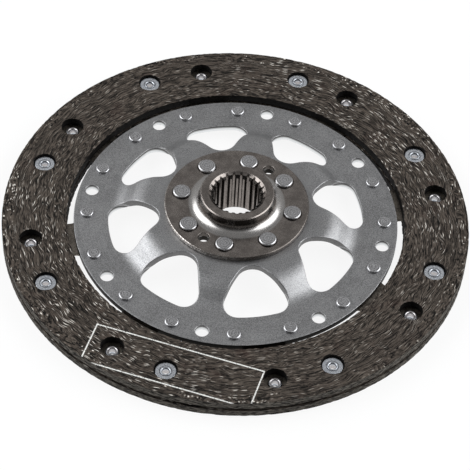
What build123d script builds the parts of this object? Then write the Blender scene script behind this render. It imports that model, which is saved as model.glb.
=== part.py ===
"""Rigid clutch disc: splined hub, pressed carrier plate, waved cushion springs and two riveted facings.

Millimetres, +Z up. The origin is on the hub axis, in the plane of the lower friction face, which the disc
lies on. The X axis runs along one spoke of the carrier plate.
"""
import os
from math import atan2, cos, hypot, pi, radians, sin, tan

from build123d import *

os.makedirs("parts", exist_ok=True)

# ---- friction facings ----
facing_outer_radius = 114.0
facing_bore_clearance = 3.2      # from the carrier plate's edge to the facings' bore
facing_thickness = 3.9
facing_web = 1.5                 # facing left under a rivet head
facing_hole_radius = 5.5         # counterbores and clearance holes alike
facing_rivet_margin = 13.4       # from the facings' outer edge to the circle of their rivets

# ---- cushion springs between the facings ----
spring_count = 8
spring_sheet = 0.7
wave_height = 1.1                # rise of the wave, from the lower facing's back to the upper one's
wave_start_margin = 4.3          # from the neck's side to where the wave begins
crest_margin = 5.4               # from the upper facing's rivet to where its crest begins
wave_bend_radius = 30.0
bend_share = 0.95                # most of the slope that its two bends may take
paddle_inner_margin = 2.6        # from the facings' bore to the paddle
paddle_outer_margin = 3.0        # from the paddle to the facings' outer edge
paddle_half_angle = 20.6         # degrees
neck_half_width = 10.2
foot_inner_margin = 6.0          # from the foot's inner edge to the circle of its rivets
foot_outer_margin = 5.4          # from the circle of its rivets to the foot's outer edge
foot_half_angle = 14.8           # degrees
spring_corner_radius = 2.6

# ---- facing rivets: tubular, head sunk in one facing, tail rolled over the cushion spring ----
crest_rivet_offset = 16.4        # degrees from the spring's middle line, rivets of the upper facing
trough_rivet_offset = 0.4        # degrees from the spring's middle line, rivets of the lower facing
facing_rivet_head_radius = 5.0
facing_rivet_head_height = 1.0
facing_rivet_shank_radius = 2.5
facing_rivet_bore_radius = 1.75
facing_rivet_collar_height = 0.2
facing_rivet_tail_radius = 3.4
facing_rivet_tail_height = 1.5
facing_rivet_edge = 0.35         # bevel round heads, tails and the mouths of the bore

# ---- carrier plate ----
carrier_sheet = 3.2
carrier_outer_radius = 79.2
ring_hole_margin = 6.4           # from the circle of the ring's holes and rivets to the carrier's edge
carrier_rise = 8.4               # from the outer ring up to the seat of the hub flange
rise_start_radius = 47.9         # where the slope meets the flange seat
rise_slope = 40.0                # degrees
carrier_bend_radius = 7.0        # inside radius of both bends
ring_hole_radius = 3.2
window_outer_radius = 62.4
window_apex_distance = 33.5      # from the axis to where the straight sides of a window would meet
window_side_angle = 39.4         # degrees between a side and the window's middle line
window_apex_round = 7.9
window_base_round = 6.9

# ---- rivets of the cushion springs ----
spring_rivet_spread = 10.65      # degrees from the spring's middle line
spring_rivet_head_radius = 3.4
spring_rivet_head_height = 1.2
spring_rivet_shank_radius = 2.4
spring_rivet_closed_radius = 3.2
spring_rivet_closed_height = 1.0

# ---- hub ----
flange_radius = 35.2
flange_thickness = 2.5
flange_edge_chamfer = 0.4
boss_radius = 17.9
boss_height = 7.7                # above the flange
boss_fillet = 5.2
hub_edge_chamfer = 0.5
tail_radius = 17.2
tail_length = 15.0               # below the flange
pilot_clearance = 0.1

# ---- spline in the hub ----
spline_teeth = 23
spline_minor_radius = 11.2
spline_major_radius = 12.9
spline_flank_angle = 15.0        # degrees between a flank and the middle line of its groove
spline_space_share = 0.5         # share of the pitch that is groove, at mid depth
spline_lead_radius = 13.9        # lead-in on the gearbox side, a chamfer down to the ends of the teeth
tooth_end_depth = 1.2            # from the hub's top to where the ends of the teeth begin
tooth_end_fall = 0.6             # further down to the tips of the teeth
spline_exit_depth = 1.0          # chamfer on the engine-side ends of the teeth

# ---- rivets and holes of the hub flange ----
hub_rivet_count = 8
hub_rivet_margin = 7.7           # from the circle of the rivets to the flange's edge
hub_rivet_head_radius = 4.3
hub_rivet_head_height = 1.3
hub_rivet_shank_radius = 3.0
hub_rivet_closed_radius = 3.9
hub_rivet_closed_height = 1.2
flange_hole_count = 2
flange_hole_radius = 2.8

solid_rivet_edge = 0.8           # bevel round the heads of the solid rivets
rivet_clearance = 0.1            # between a shank and its hole, on the radius

# ---- radii, heights and angles that follow ----
ring_hole_circle = carrier_outer_radius - ring_hole_margin
foot_inner_radius = ring_hole_circle - foot_inner_margin
foot_outer_radius = ring_hole_circle + foot_outer_margin
facing_inner_radius = carrier_outer_radius + facing_bore_clearance
facing_rivet_circle = facing_outer_radius - facing_rivet_margin
paddle_inner_radius = facing_inner_radius + paddle_inner_margin
paddle_outer_radius = facing_outer_radius - paddle_outer_margin
hub_rivet_circle = flange_radius - hub_rivet_margin
spring_pitch = 360 / spring_count
spring_height = facing_thickness
crest_height = spring_height + wave_height
upper_facing_height = crest_height + spring_sheet
ring_height = spring_height + spring_sheet
ring_top = ring_height + carrier_sheet
seat_height = ring_height + carrier_rise
flange_height = seat_height + carrier_sheet
flange_top = flange_height + flange_thickness
hub_top = flange_top + boss_height
hub_bottom = flange_height - tail_length
first_spring_angle = spring_pitch / 2
crest_rivet_angle = first_spring_angle + crest_rivet_offset
trough_rivet_angle = first_spring_angle + trough_rivet_offset
flange_hole_angle = 1.5 * 360 / hub_rivet_count
facing_shank_hole_radius = facing_rivet_shank_radius + rivet_clearance
spring_shank_hole_radius = spring_rivet_shank_radius + rivet_clearance
hub_shank_hole_radius = hub_rivet_shank_radius + rivet_clearance


def make_facing(back_height, outward, rivet_angle, clearance_angle):
    """One facing ring. Outward is +1 or -1, from its back on the springs to its friction face."""
    with BuildPart() as facing:
        with BuildSketch(Plane.XY.offset(back_height)):
            Circle(facing_outer_radius)
            Circle(facing_inner_radius, mode=Mode.SUBTRACT)
            with PolarLocations(facing_rivet_circle, spring_count, start_angle=rivet_angle):
                Circle(facing_shank_hole_radius, mode=Mode.SUBTRACT)
            with PolarLocations(facing_rivet_circle, spring_count, start_angle=clearance_angle):
                Circle(facing_hole_radius, mode=Mode.SUBTRACT)
        extrude(amount=outward * facing_thickness)
        with BuildSketch(Plane.XY.offset(back_height + outward * facing_web)):
            with PolarLocations(facing_rivet_circle, spring_count, start_angle=rivet_angle):
                Circle(facing_hole_radius)
        extrude(amount=outward * (facing_thickness - facing_web), mode=Mode.SUBTRACT)
    return facing.part


def make_facing_rivet():
    """A tubular rivet on the Z axis, its head's underside at height 0 and its tail rolled below."""
    collar_top = facing_rivet_head_height + facing_rivet_collar_height
    grip = facing_web + spring_sheet
    tail_end = -grip - facing_rivet_tail_height
    with BuildPart() as rivet:
        with BuildSketch(Plane.XZ):
            with BuildLine():
                Polyline(
                    (facing_rivet_bore_radius, collar_top - facing_rivet_edge),
                    (facing_rivet_bore_radius + facing_rivet_edge, collar_top),
                    (facing_rivet_shank_radius, facing_rivet_head_height),
                    (facing_rivet_head_radius - facing_rivet_edge, facing_rivet_head_height),
                    (facing_rivet_head_radius, facing_rivet_head_height - facing_rivet_edge),
                    (facing_rivet_head_radius, 0),
                    (facing_rivet_shank_radius, 0),
                    (facing_rivet_shank_radius, -grip),
                    (facing_rivet_tail_radius, -grip),
                    (facing_rivet_tail_radius, tail_end + 2 * facing_rivet_edge),
                    (facing_rivet_shank_radius, tail_end),
                    (facing_rivet_bore_radius + facing_rivet_edge, tail_end),
                    (facing_rivet_bore_radius, tail_end + facing_rivet_edge),
                    close=True,
                )
            make_face()
        revolve(axis=Axis.Z)
    return rivet.part


def make_solid_rivet(head_radius, head_height, shank_radius, grip, closed_radius, closed_height):
    """A solid rivet on the Z axis, its head's underside at height 0 and its closed end below."""
    closed_end = -grip - closed_height
    with BuildPart() as rivet:
        with BuildSketch(Plane.XZ):
            with BuildLine():
                Polyline(
                    (0, head_height),
                    (head_radius - solid_rivet_edge, head_height),
                    (head_radius, head_height - solid_rivet_edge),
                    (head_radius, 0),
                    (shank_radius, 0),
                    (shank_radius, -grip),
                    (closed_radius, -grip),
                    (closed_radius, closed_end + solid_rivet_edge),
                    (closed_radius - solid_rivet_edge, closed_end),
                    (0, closed_end),
                    close=True,
                )
            make_face()
        revolve(axis=Axis.Z)
    return rivet.part


def ring_of_rivets(rivet, height, circle_radius, count, start_angle):
    """Copies of one rivet round the hub axis, their reference height at the given height."""
    with BuildPart() as rivets:
        with Locations((0, 0, height)):
            with PolarLocations(circle_radius, count, start_angle=start_angle):
                add(rivet)
    return rivets.part


def write_part(part, name):
    part.label = name
    export_step(part, f"parts/{name}.step")


# ---- friction facings ----
upper_facing = make_facing(upper_facing_height, 1, crest_rivet_angle, trough_rivet_angle)
write_part(upper_facing, "upper_facing")

lower_facing = make_facing(facing_thickness, -1, trough_rivet_angle, crest_rivet_angle)
write_part(lower_facing, "lower_facing")

# ---- cushion springs ----
foot_middle_radius = (foot_inner_radius + foot_outer_radius) / 2
paddle_middle_radius = (paddle_inner_radius + paddle_outer_radius) / 2
trough_half_width = neck_half_width + wave_start_margin
crest_start = facing_rivet_circle * sin(radians(crest_rivet_offset)) - crest_margin
wave_reach = paddle_outer_radius * sin(radians(paddle_half_angle)) + spring_sheet
wave_run = crest_start - trough_half_width
half_slope = atan2(wave_height, wave_run) / 2
half_slope_length = hypot(wave_height, wave_run) / 2
wave_bend = min(wave_bend_radius, bend_share * half_slope_length / tan(half_slope))

# Flat sheet under the foot and waved sheet under the paddle, to be trimmed to the outline.
with BuildPart() as waved_sheet:
    with BuildSketch(Plane.YZ):
        with Locations((0, spring_height)):
            Rectangle(2 * wave_reach, spring_sheet, align=(Align.CENTER, Align.MIN))
    extrude(amount=foot_outer_radius)
    with BuildSketch(Plane.YZ.offset(foot_outer_radius)) as wave:
        with BuildLine():
            Polyline(
                (-wave_reach, crest_height),
                (-crest_start, crest_height),
                (-trough_half_width, spring_height),
                (trough_half_width, spring_height),
                (crest_start, crest_height),
                (wave_reach, crest_height),
                (wave_reach, crest_height + spring_sheet),
                (crest_start, crest_height + spring_sheet),
                (trough_half_width, spring_height + spring_sheet),
                (-trough_half_width, spring_height + spring_sheet),
                (-crest_start, crest_height + spring_sheet),
                (-wave_reach, crest_height + spring_sheet),
                close=True,
            )
        make_face()
        bends = wave.vertices().filter_by(lambda corner: abs(corner.X) < wave_reach - spring_sheet)
        fillet(bends, wave_bend)
    extrude(amount=paddle_outer_radius - foot_outer_radius)

with BuildPart() as cushion_spring:
    with BuildSketch(Plane.XY.offset(spring_height)) as outline:
        for inner, outer, half_angle in (
            (foot_inner_radius, foot_outer_radius, foot_half_angle),
            (paddle_inner_radius, paddle_outer_radius, paddle_half_angle),
        ):
            with BuildLine():
                outer_edge = CenterArc((0, 0), outer, -half_angle, 2 * half_angle)
                inner_edge = CenterArc((0, 0), inner, -half_angle, 2 * half_angle)
                Line(outer_edge @ 0, inner_edge @ 0)
                Line(outer_edge @ 1, inner_edge @ 1)
            make_face()
        with Locations((foot_middle_radius, 0)):
            Rectangle(paddle_middle_radius - foot_middle_radius, 2 * neck_half_width,
                      align=(Align.MIN, Align.CENTER))
        fillet(outline.vertices(), spring_corner_radius)
        with PolarLocations(ring_hole_circle, 2, start_angle=-spring_rivet_spread,
                            angular_range=2 * spring_rivet_spread, endpoint=True):
            Circle(spring_shank_hole_radius, mode=Mode.SUBTRACT)
        with PolarLocations(facing_rivet_circle, 2, start_angle=trough_rivet_offset,
                            angular_range=crest_rivet_offset - trough_rivet_offset, endpoint=True):
            Circle(facing_shank_hole_radius, mode=Mode.SUBTRACT)
    extrude(amount=wave_height + spring_sheet)
    add(waved_sheet.part, mode=Mode.INTERSECT)

for index in range(spring_count):
    turned_spring = cushion_spring.part.rotate(Axis.Z, first_spring_angle + index * spring_pitch)
    write_part(turned_spring, f"cushion_spring_{index + 1}")

# ---- facing rivets ----
facing_rivet = make_facing_rivet()
upper_facing_rivets = ring_of_rivets(
    facing_rivet, upper_facing_height + facing_web, facing_rivet_circle, spring_count, crest_rivet_angle
)
write_part(upper_facing_rivets, "upper_facing_rivets")

lower_facing_rivets = ring_of_rivets(
    facing_rivet.rotate(Axis.X, 180), facing_thickness - facing_web,
    facing_rivet_circle, spring_count, trough_rivet_angle,
)
write_part(lower_facing_rivets, "lower_facing_rivets")

# ---- carrier plate ----
rise_end_radius = rise_start_radius + carrier_rise / tan(radians(rise_slope))
bend_shift = carrier_sheet * tan(radians(rise_slope / 2))
carrier_bore_radius = tail_radius + pilot_clearance

with BuildSketch() as window:
    Circle(window_outer_radius)
    with BuildLine():
        Polyline(
            (window_apex_distance, 0),
            (window_apex_distance + window_outer_radius * cos(radians(window_side_angle)),
             window_outer_radius * sin(radians(window_side_angle))),
            (window_apex_distance + window_outer_radius * cos(radians(window_side_angle)),
             -window_outer_radius * sin(radians(window_side_angle))),
            close=True,
        )
    make_face(mode=Mode.INTERSECT)
    fillet(window.vertices().sort_by(Axis.X)[0], window_apex_round)
    fillet(window.vertices().sort_by(Axis.Y)[0], window_base_round)
    fillet(window.vertices().sort_by(Axis.Y)[-1], window_base_round)

with BuildPart() as carrier_plate:
    with BuildSketch(Plane.XZ) as section:
        with BuildLine():
            Polyline(
                (carrier_bore_radius, flange_height),
                (rise_start_radius, flange_height),
                (rise_end_radius, ring_top),
                (carrier_outer_radius, ring_top),
                (carrier_outer_radius, ring_height),
                (rise_end_radius - bend_shift, ring_height),
                (rise_start_radius - bend_shift, seat_height),
                (carrier_bore_radius, seat_height),
                close=True,
            )
        make_face()
        for corner, bend_radius in (
            ((rise_start_radius, flange_height), carrier_bend_radius + carrier_sheet),
            ((rise_end_radius, ring_top), carrier_bend_radius),
            ((rise_end_radius - bend_shift, ring_height), carrier_bend_radius + carrier_sheet),
            ((rise_start_radius - bend_shift, seat_height), carrier_bend_radius),
        ):
            fillet(section.vertices().sort_by_distance(corner)[0], bend_radius)
    revolve(axis=Axis.Z)
    with BuildSketch(Plane.XY.offset(ring_height)):
        with PolarLocations(0, spring_count, start_angle=first_spring_angle):
            add(window.sketch)
        with PolarLocations(ring_hole_circle, spring_count):
            Circle(ring_hole_radius)
        for spread in (-spring_rivet_spread, spring_rivet_spread):
            with PolarLocations(ring_hole_circle, spring_count, start_angle=first_spring_angle + spread):
                Circle(spring_shank_hole_radius)
        with PolarLocations(hub_rivet_circle, hub_rivet_count):
            Circle(hub_shank_hole_radius)
        with PolarLocations(hub_rivet_circle, flange_hole_count, start_angle=flange_hole_angle):
            Circle(flange_hole_radius)
    extrude(amount=carrier_rise + carrier_sheet, mode=Mode.SUBTRACT)
write_part(carrier_plate.part, "carrier_plate")

spring_rivet = make_solid_rivet(
    spring_rivet_head_radius, spring_rivet_head_height, spring_rivet_shank_radius,
    carrier_sheet + spring_sheet, spring_rivet_closed_radius, spring_rivet_closed_height,
)
with BuildPart() as spring_rivets:
    for spread in (-spring_rivet_spread, spring_rivet_spread):
        add(ring_of_rivets(
            spring_rivet, ring_top, ring_hole_circle, spring_count, first_spring_angle + spread
        ))
write_part(spring_rivets.part, "spring_rivets")

# ---- hub ----
spline_mid_radius = (spline_minor_radius + spline_major_radius) / 2
groove_half_width = pi * spline_mid_radius / spline_teeth * spline_space_share
flank_spread = (spline_major_radius - spline_minor_radius) / 2 * tan(radians(spline_flank_angle))
groove_reach = spline_major_radius - spline_minor_radius
groove_mouth = groove_half_width + 2 * flank_spread

with BuildPart() as hub:
    with BuildSketch(Plane.XZ) as section:
        with BuildLine():
            Polyline(
                (spline_minor_radius, hub_top - tooth_end_depth - tooth_end_fall),
                (spline_lead_radius - tooth_end_depth, hub_top - tooth_end_depth),
                (spline_lead_radius, hub_top),
                (boss_radius - hub_edge_chamfer, hub_top),
                (boss_radius, hub_top - hub_edge_chamfer),
                (boss_radius, flange_top),
                (flange_radius - flange_edge_chamfer, flange_top),
                (flange_radius, flange_top - flange_edge_chamfer),
                (flange_radius, flange_height + flange_edge_chamfer),
                (flange_radius - flange_edge_chamfer, flange_height),
                (tail_radius, flange_height),
                (tail_radius, hub_bottom + hub_edge_chamfer),
                (tail_radius - hub_edge_chamfer, hub_bottom),
                (spline_major_radius, hub_bottom),
                (spline_minor_radius, hub_bottom + spline_exit_depth),
                close=True,
            )
        make_face()
        fillet(section.vertices().sort_by_distance((boss_radius, flange_top))[0], boss_fillet)
    revolve(axis=Axis.Z)
    with BuildSketch(Plane.XY.offset(hub_bottom)):
        with PolarLocations(0, spline_teeth):
            Polygon(
                (spline_mid_radius - groove_reach, -groove_mouth),
                (spline_major_radius, flank_spread - groove_half_width),
                (spline_major_radius, groove_half_width - flank_spread),
                (spline_mid_radius - groove_reach, groove_mouth),
                align=None,
            )
    extrude(amount=hub_top - hub_bottom, mode=Mode.SUBTRACT)
    with BuildSketch(Plane.XY.offset(flange_height)):
        with PolarLocations(hub_rivet_circle, hub_rivet_count):
            Circle(hub_shank_hole_radius)
        with PolarLocations(hub_rivet_circle, flange_hole_count, start_angle=flange_hole_angle):
            Circle(flange_hole_radius)
    extrude(amount=flange_thickness, mode=Mode.SUBTRACT)
write_part(hub.part, "hub")

hub_rivet = make_solid_rivet(
    hub_rivet_head_radius, hub_rivet_head_height, hub_rivet_shank_radius,
    flange_thickness + carrier_sheet, hub_rivet_closed_radius, hub_rivet_closed_height,
)
hub_rivets = ring_of_rivets(hub_rivet, flange_top, hub_rivet_circle, hub_rivet_count, 0)
write_part(hub_rivets, "hub_rivets")
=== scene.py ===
import bpy
import numpy as np
from mathutils import Matrix, Vector
from mathutils.geometry import delaunay_2d_cdt


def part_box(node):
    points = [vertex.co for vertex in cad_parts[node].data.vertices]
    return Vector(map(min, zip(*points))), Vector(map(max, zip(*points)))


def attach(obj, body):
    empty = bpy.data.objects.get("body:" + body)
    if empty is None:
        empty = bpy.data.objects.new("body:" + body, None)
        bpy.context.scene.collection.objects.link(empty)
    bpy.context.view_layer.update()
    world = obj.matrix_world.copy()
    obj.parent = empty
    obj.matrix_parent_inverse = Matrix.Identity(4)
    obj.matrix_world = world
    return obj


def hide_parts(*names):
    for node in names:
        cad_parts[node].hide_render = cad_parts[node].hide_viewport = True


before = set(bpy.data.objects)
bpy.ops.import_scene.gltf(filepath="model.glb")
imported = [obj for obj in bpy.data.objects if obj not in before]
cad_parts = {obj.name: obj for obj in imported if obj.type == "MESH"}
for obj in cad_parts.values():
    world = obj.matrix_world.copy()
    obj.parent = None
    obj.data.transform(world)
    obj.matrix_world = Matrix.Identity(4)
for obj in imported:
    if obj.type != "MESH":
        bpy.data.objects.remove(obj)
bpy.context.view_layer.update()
mm = 0.001
print("frame loaded")


def nodeBox(node):  # a node's lowest and highest corner in millimetres
    low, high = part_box(node)
    return np.array(low) / mm, np.array(high) / mm


def around(centre, radius, angles):  # centre + radius * (cos a, sin a) for each angle in radians
    return np.array(centre) + radius * np.stack([np.cos(angles), np.sin(angles)], 1)


def roundedPath(corners, radii, steps):
    # An open path whose inner corners become arcs: each touches both legs at radius * tan(turn / 2) from its
    # corner and runs as centre + radius * (cos, sin).
    corners = np.array(corners, float)
    parts = [corners[:1]]
    for before, corner, after, radius in zip(corners, corners[1:], corners[2:], radii):
        incoming = (corner - before) / np.linalg.norm(corner - before)
        outgoing = (after - corner) / np.linalg.norm(after - corner)
        turn = np.arctan2(incoming[0] * outgoing[1] - incoming[1] * outgoing[0], incoming @ outgoing)
        side = np.sign(turn)
        start = corner - incoming * radius * np.tan(abs(turn) / 2)
        centre = start + side * radius * np.array([-incoming[1], incoming[0]])
        swing = np.arctan2(*(start - centre)[::-1]) + np.linspace(0, turn, steps + 1)
        parts.append(around(centre, radius, swing))
    parts.append(corners[-1:])
    return np.vstack(parts)


def wallProfile(radius, run, top, bottom, rounds, steps):
    # A straight wall from face to face as (radius, height) points, with a rounded corner at each face.
    corners = [(radius + run, top), (radius, top), (radius, bottom), (radius + run, bottom)]
    return roundedPath(corners, rounds, steps)[1:-1]


def circleLoop(radius, count, centre=(0, 0), hole=False):  # round a hole it runs the other way
    return around(centre, radius, np.arange(count) * 2 * np.pi / count * (-1 if hole else 1))


def evenTurns(count):  # degrees, evenly round the axis from +X
    return np.arange(count) * 360 / count


def turned(points, degrees):  # (x cos a - y sin a, x sin a + y cos a)
    angle = np.radians(degrees)
    return points @ np.array([[np.cos(angle), np.sin(angle)], [-np.sin(angle), np.cos(angle)]])


def atAngle(radius, degrees):  # the point at a radius and an angle
    return turned(np.array([[radius, 0.0]]), degrees)[0]


def holeLoop(radius, circle, degrees, count=32):  # a hole whose middle is on a circle about the axis
    return circleLoop(radius, count, atAngle(circle, degrees), True)


def turnedOver(points, faces):  # height becomes -height, and faces run the other way to stay outward
    return points * [1, 1, -1], [group[:, ::-1] for group in faces]


def towardsMaterial(loop):  # unit vectors to the left of the way that a loop runs
    along = np.roll(loop, -1, 0) - np.roll(loop, 1, 0)
    along /= np.linalg.norm(along, axis=1, keepdims=True)
    return np.stack([-along[:, 1], along[:, 0]], 1)


def sheetEdge(loop, topHeight, bottomHeight, topRound, bottomRound, steps=4):
    # The cut edge of a sheet: a quarter circle down from the top face and another in to the bottom face, with
    # inset = round * (1 - sin a) and drop = round * (1 - cos a). The faces' heights follow from the place.
    inward = towardsMaterial(loop)
    quarter = np.linspace(0, np.pi / 2, steps + 1)
    rows = []
    faces = ((topHeight, topRound, -1, quarter), (bottomHeight, bottomRound, 1, quarter[::-1]))
    for height, corner, sense, shares in faces:
        for share in shares:
            place = loop + inward * corner * (1 - np.sin(share))
            rows.append(np.column_stack([place, height(place) + sense * corner * (1 - np.cos(share))]))
    return np.array(rows)


def turnedEdge(profile, count, centre=(0, 0), hole=False):
    # A (radius, height) profile carried round a circle: point = centre + radius * (cos a, sin a).
    circle = circleLoop(1, count, hole=hole)
    profile = np.array(profile, float)
    rows = np.empty((len(profile), count, 3))
    rows[:, :, :2] = np.array(centre) + profile[:, None, :1] * circle
    rows[:, :, 2] = profile[:, 1:]
    return rows


def flat(height):  # a level face: the same height at every place
    return lambda place: np.full(len(place), float(height))


def dished(path):  # a face whose height follows a (radius, height) path
    return lambda place: np.interp(np.hypot(place[:, 0], place[:, 1]), path[:, 0], path[:, 1])


def gridFaces(rows, columns, start=0):  # quads of a grid that closes on itself along its columns
    row, column = np.meshgrid(np.arange(rows - 1), np.arange(columns), indexing="ij")
    here = start + row * columns + column
    beside = start + row * columns + (column + 1) % columns
    return np.stack([here, here + columns, beside + columns, beside], -1).reshape(-1, 4)


def insideLoops(points, loops):  # even-odd rule: a ray to +x crosses the loops an odd number of times
    crossings = np.zeros(len(points), int)
    x, y = points[:, :1], points[:, 1:2]
    for loop in loops:
        (startX, startY), (endX, endY) = loop.T, np.roll(loop, -1, 0).T
        spans = (startY > y) != (endY > y)
        rise = np.where(startY == endY, 1.0, endY - startY)
        reach = startX + (y - startY) / rise * (endX - startX)
        crossings += (spans & (reach > x)).sum(1)
    return crossings % 2 == 1


def clearOf(points, loops, gap, blockSize=500):  # points inside the material and a gap away from every loop
    spots = np.vstack(loops)
    near = np.concatenate([
        np.hypot(*(block[:, None] - spots[None]).transpose(2, 0, 1)).min(1)
        for block in np.array_split(points, max(1, len(points) // blockSize))
    ])
    return points[(near > gap) & insideLoops(points, loops)]


def capFaces(loops, inner):  # triangles that fill the space between loops, with extra points inside it
    points = np.vstack(loops + [inner])
    edges = []
    start = 0
    for loop in loops:
        index = start + np.arange(len(loop))
        edges += np.stack([index, np.roll(index, -1)], 1).tolist()
        start += len(loop)
    result = delaunay_2d_cdt([Vector(point) for point in points], edges, [], 0, 1e-7)
    sources = np.array([source[0] for source in result[3]])
    faces = sources[np.array(result[2])]
    return faces[insideLoops(points[faces].mean(1), loops)]


def plateMesh(edges, topHeight, bottomHeight, inner=np.zeros((0, 2))):
    # A closed plate: each edge is a grid from the top face to the bottom face, and two caps join them.
    points, faces, starts = [], [], []
    start = 0
    for edge in edges:
        rows, columns = edge.shape[:2]
        points.append(edge.reshape(-1, 3))
        faces.append(gridFaces(rows, columns, start))
        starts.append(start)
        start += rows * columns
    for level, height in ((0, topHeight), (-1, bottomHeight)):
        rims = [edge[level, :, :2] for edge in edges]
        lookup = np.concatenate([
            first + (edge.shape[0] - 1 if level else 0) * edge.shape[1] + np.arange(edge.shape[1])
            for first, edge in zip(starts, edges)
        ] + [start + np.arange(len(inner))])
        points.append(np.column_stack([inner, height(inner)]))
        start += len(inner)
        cap = lookup[capFaces(rims, inner)]
        faces.append(cap[:, ::-1] if level else cap)
    return np.vstack(points), faces


def latheMesh(profile, columns):
    # A turned solid: its profile runs from the top pole to the bottom one, and fans close both.
    rows = turnedEdge(profile[1:-1], columns)
    points = np.vstack([rows.reshape(-1, 3), [[0, 0, profile[0][1]], [0, 0, profile[-1][1]]]])
    index = np.arange(columns)
    beside = np.roll(index, -1)
    last = (len(profile) - 3) * columns
    top = np.stack([np.full(columns, len(points) - 2), index, beside], 1)
    bottom = np.stack([np.full(columns, len(points) - 1), last + beside, last + index], 1)
    return points, [gridFaces(len(profile) - 2, columns), top, bottom]


def tubeMesh(profile, columns):  # a turned ring: its profile closes on itself
    rows = turnedEdge(np.vstack([profile, profile[:1]]), columns)
    faces = gridFaces(len(profile) + 1, columns)
    return rows[:-1].reshape(-1, 3), [faces % (len(profile) * columns)]


finish = {"sharpAngle": 35}  # degrees; edges that turn more stay crisp


def linked(name, data):  # a new object in the scene
    made = bpy.data.objects.new(name, data)
    bpy.context.scene.collection.objects.link(made)
    return made


def addPiece(name, meshes, material, nodes):
    # Joins (points, faces, axis) groups into one object that stands for CAD nodes in the frame. Each point
    # keeps its offset from its group's axis, for finishes that change across a rivet.
    points, faces, offsets = [], [], []
    start = 0
    for places, groups, axis in meshes:
        points.append(places)
        offsets.append(places - [*axis, 0])
        faces += [face for group in groups for face in (group + start).tolist()]
        start += len(places)
    mesh = bpy.data.meshes.new(name)
    mesh.from_pydata((np.vstack(points) * mm).tolist(), [], faces)
    fromAxis = mesh.attributes.new("fromAxis", "FLOAT_VECTOR", "POINT")
    fromAxis.data.foreach_set("vector", np.vstack(offsets).ravel())
    mesh.validate()
    mesh.shade_smooth()
    mesh.set_sharp_from_angle(angle=np.radians(finish["sharpAngle"]))
    mesh.materials.append(material)
    piece = linked(name, mesh)
    weighted = piece.modifiers.new("faceWeighted", "WEIGHTED_NORMAL")
    weighted.keep_sharp = True
    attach(piece, "root")
    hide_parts(*nodes)


def mathMethod(operation):  # a method that adds one Math node
    return lambda self, *others: self.shader.maths(operation, self, *others)


class Wire:  # a socket that carries a number over the surface
    def __init__(self, shader, socket):
        self.shader = shader
        self.socket = socket

    __add__ = __radd__ = mathMethod("ADD")
    __mul__ = __rmul__ = mathMethod("MULTIPLY")
    __sub__ = mathMethod("SUBTRACT")
    __truediv__ = mathMethod("DIVIDE")
    __pow__ = mathMethod("POWER")
    atLeast = mathMethod("MAXIMUM")
    atMost = mathMethod("MINIMUM")
    size = mathMethod("ABSOLUTE")
    round = mathMethod("ROUND")
    sine = mathMethod("SINE")
    cosine = mathMethod("COSINE")
    arcSine = mathMethod("ARCSINE")
    angleFrom = mathMethod("ARCTAN2")

    def __rsub__(self, other):
        return self.shader.maths("SUBTRACT", other, self)

    def clamp(self):
        return self.atLeast(0).atMost(1)

    def step(self, low, high):  # smooth step from 0 at low to 1 at high
        settings = {"interpolation_type": "SMOOTHSTEP"}
        return self.shader.wire("MapRange", settings, {"Value": self, 1: low, 2: high}, "Result")

    def fall(self, low, high):  # smooth step from 1 at low to 0 at high
        return 1 - self.step(low, high)

    def band(self, low, full, fade, high):  # 0 up to low, 1 from full to fade, 0 from high on
        return self.step(low, full) * self.fall(fade, high)


class Shader:  # the node tree of a material or of the world
    def __init__(self, owner):
        owner.use_nodes = True
        self.owner = owner
        self.tree = owner.node_tree
        self.tree.nodes.clear()

    def node(self, kind, settings, values):
        made = self.tree.nodes.new("ShaderNode" + kind)
        for key, setting in settings.items():
            setattr(made, key, setting)
        for key, value in values.items():
            if isinstance(value, Wire):
                self.tree.links.new(value.socket, made.inputs[key])
            else:
                made.inputs[key].default_value = value
        return made

    def wire(self, kind, settings, values, output):
        return Wire(self, self.node(kind, settings, values).outputs[output])

    def maths(self, operation, *values):
        return self.wire("Math", {"operation": operation}, dict(enumerate(values)), "Value")

    def place(self):  # object coordinates in millimetres
        values = {0: self.wire("TexCoord", {}, {}, "Object"), "Scale": 1 / mm}
        return self.wire("VectorMath", {"operation": "SCALE"}, values, "Vector")

    def split(self, vector):
        parts = self.node("SeparateXYZ", {}, {0: vector})
        return [Wire(self, output) for output in parts.outputs]

    def join(self, x, y, z):
        return self.wire("CombineXYZ", {}, {0: x, 1: y, 2: z}, "Vector")

    def level(self, low, high):  # 1 where the surface lies flat, 0 where it stands upright
        normal = self.wire("NewGeometry", {}, {}, "Normal")
        return self.split(normal)[2].size().step(low, high)

    def noise(self, vector, scale, detail=2, roughness=0.5, output=0):  # output 1 is three noises as a colour
        values = {"Vector": vector, "Scale": scale, "Detail": detail, "Roughness": roughness}
        return self.wire("TexNoise", {}, values, output)

    def cells(self, vector, output):
        return self.wire("TexVoronoi", {"feature": "F1"}, {"Vector": vector, "Scale": 1}, output)

    def blend(self, share, first, second):  # inputs 6 and 7 and output 2 are the node's colours
        return self.wire("Mix", {"data_type": "RGBA"}, {0: share, 6: first, 7: second}, 2)

    def bump(self, height, distance, strength):
        values = {"Height": height, "Distance": distance * mm, "Strength": strength}
        return self.wire("Bump", {}, values, "Normal")

    def surface(self, values):  # a finished material from the values of its main shader
        body = self.wire("BsdfPrincipled", {}, values, "BSDF")
        self.node("OutputMaterial", {}, {"Surface": body})
        return self.owner


def newFinish(name):
    return Shader(bpy.data.materials.new(name))


def srgb(red, green, blue):  # a colour as read on a screen, 0 to 255, for a shader
    share = np.array([red, green, blue]) / 255
    linear = np.where(share <= 0.04045, share / 12.92, ((share + 0.055) / 1.055) ** 2.4)
    return (*linear, 1.0)


def distance(x, y):  # from the axis
    return (x * x + y * y) ** 0.5


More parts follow.
